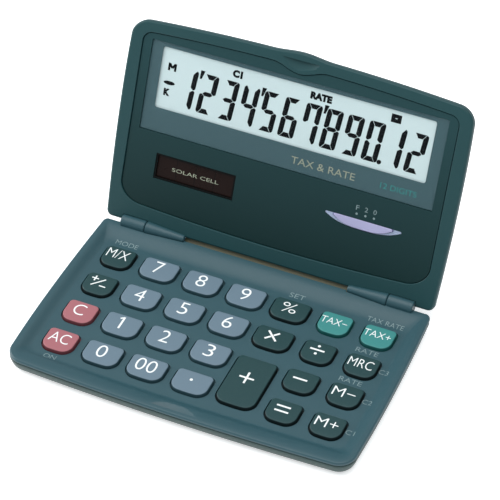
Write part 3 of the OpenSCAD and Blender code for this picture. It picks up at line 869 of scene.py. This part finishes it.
def shrunk(line, d):
    """An outline moved inwards by d, for outlines with no tight inner corners."""
    n = len(line)
    area = sum(line[i][0] * line[(i + 1) % n][1] - line[(i + 1) % n][0] * line[i][1] for i in range(n))
    turn = 1 if area > 0 else -1
    out = []
    for i in range(n):
        (ax, ay), (bx, by), (cx, cy) = line[i - 1], line[i], line[(i + 1) % n]
        e1 = Vector((bx - ax, by - ay)).normalized()
        e2 = Vector((cx - bx, cy - by)).normalized()
        n1 = Vector((-e1.y, e1.x)) * turn
        n2 = Vector((-e2.y, e2.x)) * turn
        mid = (n1 + n2).normalized()
        step = d / max(0.5, mid.dot(n1))
        out.append((bx + mid.x * step, by + mid.y * step))
    return out


def panel():
    """The dark face panel, with openings for the window, the solar cell and the switch."""
    soft = 0.15
    edge_low = PANEL_TOP - soft
    rings = [(panel_line(PANEL_GAP), PANEL_LOW), (panel_line(PANEL_GAP), edge_low)]
    rings += [(panel_line(PANEL_GAP + soft + d), h) for d, h in arc(0, edge_low, soft, 180, 90)[1:]]
    sheet = carved(loft(rings), block(-WINDOW_HW, WINDOW_HW, WINDOW_NEAR, WINDOW_FAR, MASK_LOW, 1))
    sheet = carved(sheet, block(-LCD_HW - 0.2, LCD_HW + 0.2, LCD_NEAR - 0.1, LCD_FAR + 0.1, -2, 0))
    sheet = carved(sheet, block(SOLAR_X0, SOLAR_X1, SOLAR_V0, SOLAR_V1, -2, 0))
    sheet = carved(sheet, plate(crescent(24.6, 3.15), -2, 0))
    place(sheet, "face_panel_moulding", "display_leaf", "panel_plastic", ["face_panel"])


def solar():
    """The solar cell: coated glass with four strips, the black border printed round it and its print."""
    wide, thick = 1.3, 0.8
    glass = block(SOLAR_X0 - wide, SOLAR_X1 + wide, SOLAR_V0 - 1, SOLAR_V1 + 1, PANEL_LOW - thick, PANEL_LOW)
    place(glass, "solar_glass", "display_leaf", "solar_glass", ["solar_cell"])
    border, rise, gap, line_hw = 0.6, 0.55, 0.02, 0.07
    x0, x1, v0, v1 = SOLAR_X0 + gap, SOLAR_X1 - gap, SOLAR_V0 + gap, SOLAR_V1 - gap
    sides = [(x0, x1, v0, v0 + border), (x0, x1, v1 - border, v1),
             (x0, x0 + border, v0 + border, v1 - border), (x1 - border, x1, v0 + border, v1 - border)]
    bars = [block(*side, PANEL_LOW, PANEL_LOW + rise) for side in sides]
    place(joined(bars), "solar_border", "display_leaf", "black_border")
    middles = [x0 + border + (x1 - x0 - 2 * border) * i / 4 for i in (1, 2, 3)]
    lines = [block(x - line_hw, x + line_hw, v0 + border, v1 - border, PANEL_LOW - 0.01, PANEL_LOW + 0.02)
             for x in middles]
    place(joined(lines), "solar_strip_lines", "display_leaf", "black_border")
    print_on(lettering("SOLAR CELL", 15.5, -1.15), (SOLAR_X0 + SOLAR_X1) / 2, 20.3, lambda x, v: PANEL_LOW,
             "solar_print", "display_leaf", "pale_ink")


def window():
    """The clear window with a softened edge, and the printed border behind it."""
    soft, gap = 0.12, 0.05
    line = round_box(WINDOW_HW - gap, WINDOW_NEAR + gap, WINDOW_FAR - gap, 0.4, 0.4, 5, 2, 2)
    pane = loft([(line, MASK_TOP + 0.03), (line, PANEL_TOP - soft), (shrunk(line, soft), PANEL_TOP)])
    place(pane, "window_pane", "display_leaf", "clear_plastic", ["display_window"])
    print_v = 34.3
    prints = [("TAX & RATE", 12.2, 20.5, 2.25, "pale_ink"), ("12 DIGITS", 36.3, 11.5, 1.75, "teal_ink")]
    for text, x, w, h, ink in prints:
        print_on(lettering(text, w, -h), x, print_v, lambda x, v: MASK_TOP, "window_print_" + ink,
                 "display_leaf", ink)
    edge_in = 2 * gap
    border = block(-WINDOW_HW + edge_in, WINDOW_HW - edge_in, WINDOW_NEAR + edge_in, WINDOW_FAR - edge_in,
                   MASK_LOW, MASK_TOP)
    hole = round_box(VIEW_HW, VIEW_NEAR, VIEW_FAR, 0.8, 0.8, 6, 1, 1)
    place(carved(border, plate(hole, -2, 0)), "window_border", "display_leaf", "mask_print", ["window_mask"])


# ---- display digits ----
def segment_shapes():
    """The outlines of a digit's seven segments in its upright box: bars with blunt, slanted ends."""
    w, h, t = DIGIT_W, DIGIT_TALL, STROKE
    m = h / 2
    top = [(0.8, h), (w - 0.8, h), (w - t - 0.02, h - 1.15), (w - t - 0.2, h - t + 0.1),
           (t + 0.2, h - t + 0.1), (t + 0.02, h - 1.15)]
    right = [(w, h - 0.95), (w - 0.08, h - 0.5), (w - 0.35, h - 0.16), (w - 0.7, h - 0.06),
             (w - t, h - 1.35), (w - t, m + 0.78), (w - 0.78, m + 0.12), (w - 0.4, m + 0.12), (w, m + 0.5)]
    middle = [(0.88, m), (t + 0.02, m + 0.66), (w - t - 0.02, m + 0.66), (w - 0.88, m),
              (w - t - 0.02, m - 0.66), (t + 0.02, m - 0.66)]
    return {
        "a": top,
        "b": right,
        "c": [(x, h - y) for x, y in right],
        "d": [(x, h - y) for x, y in top],
        "e": [(w - x, h - y) for x, y in right],
        "f": [(w - x, y) for x, y in right],
        "g": middle,
    }


def leaned(line, place_in_row):
    """An outline in a digit's box, leaned over and moved to its place in the row."""
    x = DIGIT_X + place_in_row
    return [(x + px + SLANT * pv, DIGIT_V + pv) for px, pv in line]


def digit_outlines():
    """The lit segments, the ticks above them and the decimal point."""
    shapes = segment_shapes()
    outlines = []
    for i, digit in enumerate(DIGITS):
        outlines += [leaned(shapes[s], i * DIGIT_PITCH) for s in SEGMENTS[digit]]
    tick = [(-0.1, 13.2), (1.3, 13.2), (0.65, 10.5), (0.0, 10.5)]
    outlines += [leaned(tick, i * DIGIT_PITCH + DIGIT_W + 0.5) for i in TICKED]
    outlines.append(leaned(dot(0.7, 0.55, 0.72), POINTED * DIGIT_PITCH + DIGIT_W))
    return outlines


def indicator_outlines():
    """The drawn indicators: the minus bar, the framed battery square and the M."""
    minus = [(-40.55 + 1.85 * x, 46.9 + 0.62 * v) for x, v in dot(0, 0, 1)]
    square = [(29.9, 33.1, 54.0, 55.2), (29.9, 33.1, 55.45, 56.6), (29.9, 31.2, 55.2, 55.45),
              (31.8, 33.1, 55.2, 55.45)]
    letter = [(-41.3, 50.8, -41.3, 53.2), (-39.3, 50.8, -39.3, 53.2), (-41.2, 53.0, -40.3, 51.7),
              (-39.4, 53.0, -40.3, 51.7)]
    return [minus] + [rectangle(*part) for part in square] + [bar(*stroke, 0.72) for stroke in letter]


def display_digits():
    """The lit segments and the indicators, as one thin print on the display's face."""
    outlines = digit_outlines() + indicator_outlines()
    marks = [flat_shapes([line[::-1] for line in outlines])]
    for text, x, v, w, h in INDICATORS:
        letters = lettering(text, w, -h, -0.75)
        letters.transform(Matrix.Translation((x, v, 0)))
        marks.append(letters)
    print_on(joined(marks), 0, 0, lambda x, v: LCD_TOP + 0.004, "display_digits", "display_leaf",
             "display_ink", 0.015)


def display_face():
    """The front polariser, whose face is the pale ground of the display."""
    thick = 0.13
    sheet = block(-LCD_HW, LCD_HW, LCD_NEAR, LCD_FAR, LCD_TOP - thick, LCD_TOP)
    place(sheet, "display_ground", "display_leaf", "polariser_film", ["lcd_front_polariser"])


# ---- switch ----
def dipped(mesh):
    """The knob with a shallow finger dip across the middle of its top."""
    depth, width, cuts = 0.22, 3.4, 17
    bm = bmesh.new()
    bm.from_mesh(mesh)
    for i in range(-cuts, cuts + 1):
        everything = bm.verts[:] + bm.edges[:] + bm.faces[:]
        bmesh.ops.bisect_plane(bm, geom=everything, plane_co=(SWITCH_X + i / 2, 0, 0), plane_no=(1, 0, 0))
    for p in bm.verts:
        if p.co.z > -0.2:
            p.co.z -= depth * math.exp(-((p.co.x - SWITCH_X) / width) ** 2)
    bm.to_mesh(mesh)
    bm.free()
    return mesh


def switch_plate():
    """The crescent plate with its softened edge and the slot for the knob's stem."""
    top, soft = -0.45, 0.12
    line = crescent(24.5, 3.1)
    well = loft([(line, -1.1), (line, top - soft), (shrunk(line, soft), top)])
    slot_hw, slot_near, slot_far = 3.8, 20.55, 21.55
    well = carved(well, block(SWITCH_X - slot_hw, SWITCH_X + slot_hw, slot_near, slot_far, -2, 0))
    place(well, "switch_plate", "display_leaf", "switch_well", ["switch_escutcheon"])


def switch_knob():
    """The raised crescent knob on its stem, and a dark crescent under its foot, a painted shadow round the knob's
    ends.
    """
    soft = 0.16
    line = crescent(18.8, 2.9)
    edge_low = KNOB_TOP - soft
    rings = [(line, KNOB_LOW), (line, edge_low)]
    rings += [(shrunk(line, soft + d), h) for d, h in arc(0, edge_low, soft, 180, 90, 4)[1:]]
    # a dark crescent a little wider than the knob, under its foot: painted shadow round its ends
    shadow_crescent = plate(crescent(19.4, 2.98), KNOB_LOW - 0.05, KNOB_LOW + 0.01)
    place(shadow_crescent, "switch_knob_painted_shadow", "mode_switch", "knob_painted_shadow")
    stem_hw, stem_near, stem_far, stem_low = 0.9, 20.7, 21.4, -2.2
    stem = block(SWITCH_X - stem_hw, SWITCH_X + stem_hw, stem_near, stem_far, stem_low, KNOB_LOW + 0.08)
    knob = carved(dipped(loft(rings)), stem, "UNION")
    place(knob, "switch_knob_moulding", "mode_switch", "lilac_plastic", ["switch_knob"])


def switch_marks():
    """A dot and a mark for each of the switch's three positions."""
    dot_v, dot_r, mark_v = 23.65, 0.36, 25.6
    dots = flat_shapes([dot(x, dot_v, dot_r) for x in SWITCH_MARKS.values()])
    print_on(dots, 0, 0, lambda x, v: PANEL_TOP, "switch_position_dots", "display_leaf", "beige_ink")
    for text, x in SWITCH_MARKS.items():
        print_on(lettering(text, 1.0, -1.45), x, mark_v, lambda x, v: PANEL_TOP, "switch_mark_" + text,
                 "display_leaf", "beige_ink")


# ---- film across the hinge ----
def from_lid(s, h):
    """A place of the display leaf, s from the hinge and h above its rim, as (y, z) from the hinge axis."""
    up = h - RISE
    return (s * math.cos(TILT) - up * math.sin(TILT), s * math.sin(TILT) + up * math.cos(TILT))


def film_route():
    """The film's middle line as (y, z) from the hinge axis: key board, slot, gap, slot, display board."""
    inside = [(9.2, -3.825), (6.2, -3.825), (4.6, -3.3), (3.6, -2.3), (2.4, FILM_H - 0.05)]
    outside = [(2, FILM_H - 0.1), (3.4, -2.2), (5, -2.7), (6.2, -2.825), (9.2, -2.825)]
    leave = (-BASE_NEAR, FILM_H - RISE)
    enter = from_lid(LID_NEAR, FILM_H)
    corner = (enter[0] - (enter[1] - leave[1]) / math.tan(TILT), leave[1])
    steps = 16
    across = []
    for i in range(steps + 1):
        t = i / steps
        across.append(tuple((1 - t) ** 2 * leave[k] + 2 * t * (1 - t) * corner[k] + t * t * enter[k]
                            for k in (0, 1)))
    route = [(-v, h - RISE) for v, h in inside] + across + [from_lid(s, h) for s, h in outside]
    return route, leave, enter


def film_mesh(route):
    """The film's skin along its route, in metres in the frame."""
    points, faces = [], []
    for i, (y, z) in enumerate(route):
        before, after = route[max(i - 1, 0)], route[min(i + 1, len(route) - 1)]
        along = Vector((after[0] - before[0], after[1] - before[1])).normalized()
        side = Vector((-along.y, along.x)) * FILM_THICK / 2
        for x in (-FILM_HW, FILM_HW):
            for s in (1, -1):
                points.append((x * MM, (HINGE_Y + y + s * side.x) * MM, (HINGE_Z + z + s * side.y) * MM))
    count = len(route)
    for i in range(count - 1):
        a, b = 4 * i, 4 * i + 4
        for p, q in ((0, 1), (1, 3), (3, 2), (2, 0)):
            faces.append([a + p, a + q, b + q, b + p])
    faces += [[0, 2, 3, 1], [4 * count - 4, 4 * count - 3, 4 * count - 1, 4 * count - 2]]
    return mesh_of(points, faces)


def film():
    """The amber flexible film, laid across the hinge at the lid's present angle."""
    route, leave, enter = film_route()
    mesh = film_mesh(route)
    mesh.name = "hinge_film"
    mesh.materials.append(MATERIALS["amber_film"])
    piece = new_object("hinge_film", mesh)
    smoothed(mesh, FILM_SHARP)
    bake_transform(piece)
    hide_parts("flex_cable")


# ---- studio ----
def camera():
    """Looks from the front right, down at the open leaves, through a long lens."""
    azimuth, elevation, distance = math.radians(23.74), math.radians(43.1), 768.1
    target = Vector((-6.72, HINGE_Y + 3.65, HINGE_Z))
    level = math.cos(elevation)
    out = Vector((math.sin(azimuth) * level, -math.cos(azimuth) * level, math.sin(elevation)))
    data = bpy.data.cameras.new("camera")
    data.sensor_width = 36
    data.lens = 181.0
    data.clip_end = 20
    eye = new_object("camera", data)
    eye.location = (target + out * distance) * MM
    eye.rotation_euler = out.to_track_quat("Z", "Y").to_euler()
    bpy.context.scene.camera = eye


def softbox(name, place_at, aim, size, watts):
    """A rectangular lamp that faces the point aim, in metres."""
    data = bpy.data.lights.new(name, "AREA")
    data.shape = "RECTANGLE"
    data.size, data.size_y = size
    data.energy = watts
    lamp = new_object(name, data)
    lamp.location = place_at
    lamp.rotation_euler = (Vector(place_at) - Vector(aim)).to_track_quat("Z", "Y").to_euler()


def lights():
    """Soft, even light: a pale sky, an overhead softbox and two fills."""
    bpy.context.scene.view_settings.view_transform = "Standard"
    world = bpy.data.worlds.new("studio")
    world.use_nodes = True
    sky = world.node_tree.nodes["Background"].inputs
    sky["Color"].default_value = (0.9, 0.95, 1.0, 1)
    sky["Strength"].default_value = 0.55
    bpy.context.scene.world = world
    softbox("overhead", (0.0, 0.0, 0.8), (0, 0.02, 0), (0.9, 0.8), 5.5)
    softbox("left_fill", (-1.1, -0.05, 0.5), (0, 0.02, 0), (0.8, 0.8), 11.0)
    softbox("front_fill", (0.45, -0.7, 0.5), (0, 0.03, 0.02), (0.6, 0.6), 0.5)


def floor():
    """A plain pale floor, just under the object."""
    half, below = 3.0, 0.0001
    mesh = bpy.data.meshes.new("floor")
    mesh.from_pydata([(x, y, 0) for x, y in rectangle(-half, half, -half, half)], [], [(0, 1, 2, 3)])
    ground = new_object("floor", mesh)
    ground.location.z = -below
    material, _, _, shader = new_material("floor")
    shader.inputs["Base Color"].default_value = (0.9, 0.9, 0.9, 1)
    shader.inputs["Roughness"].default_value = 0.9
    shader.inputs["Emission Color"].default_value = (1, 1, 1, 1)
    shader.inputs["Emission Strength"].default_value = 0.48
    mesh.materials.append(material)


camera()
lights()
floor()
paint_cad_nodes()
dish_surface = key_leaf_top()
key_leaf_bottom()
for key_name in KEYS:
    key(key_name)
labels(dish_surface)
lid_front()
lid_rear()
panel()
solar()
window()
display_face()
display_digits()
switch_plate()
switch_knob()
switch_marks()
film()
